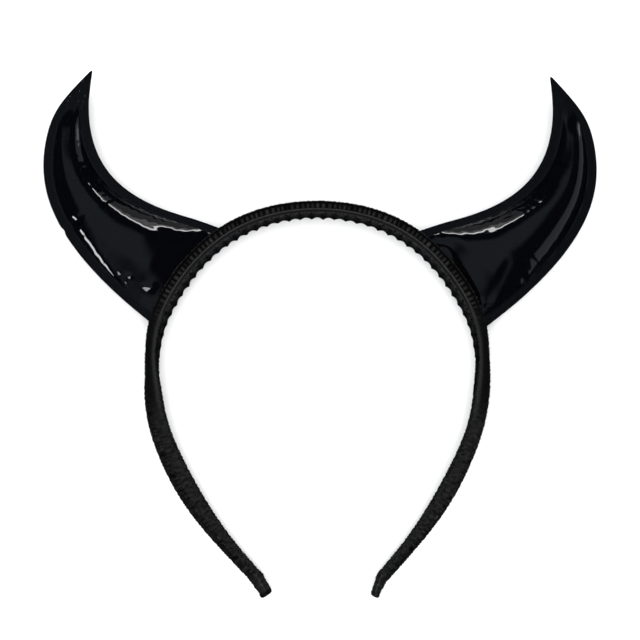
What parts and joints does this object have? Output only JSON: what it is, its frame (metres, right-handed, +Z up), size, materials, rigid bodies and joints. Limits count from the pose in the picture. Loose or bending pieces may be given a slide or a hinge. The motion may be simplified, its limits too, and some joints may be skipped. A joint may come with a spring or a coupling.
{
  "type": "devil horns headband",
  "caption": "Ribbon-wound headband hoop with toothed inner lining, wrapped leg ends and stuffed glossy vinyl horns whose flat bonded edges curve in to a point.",
  "frame": {"origin": "centre of the bounding box's base, on the surface that the headband lies on, front face up", "axes": "+X across the hoop to the right as seen from the front, +Y from the leg ends towards the crown and the horn tips, +Z up from the surface, out of the front face"},
  "size_m": [0.2154, 0.206, 0.0197],
  "materials": {
    "ribbon": "black ribbed grosgrain, matte",
    "lining": "black satin over comb teeth, low sheen",
    "vinyl": "black coated vinyl, high gloss, with soft creases",
    "stuffing": "polyester fibre, hidden inside the horns"
  },
  "bodies": {
    "root": {"band": "ribbon", "band_lining": "lining", "left_tip_wrap": "ribbon", "right_tip_wrap": "ribbon", "left_horn_front_panel": "vinyl", "left_horn_back_panel": "vinyl", "right_horn_front_panel": "vinyl", "right_horn_back_panel": "vinyl", "left_horn_padding": "stuffing", "right_horn_padding": "stuffing"}
  },
  "joints": []
}
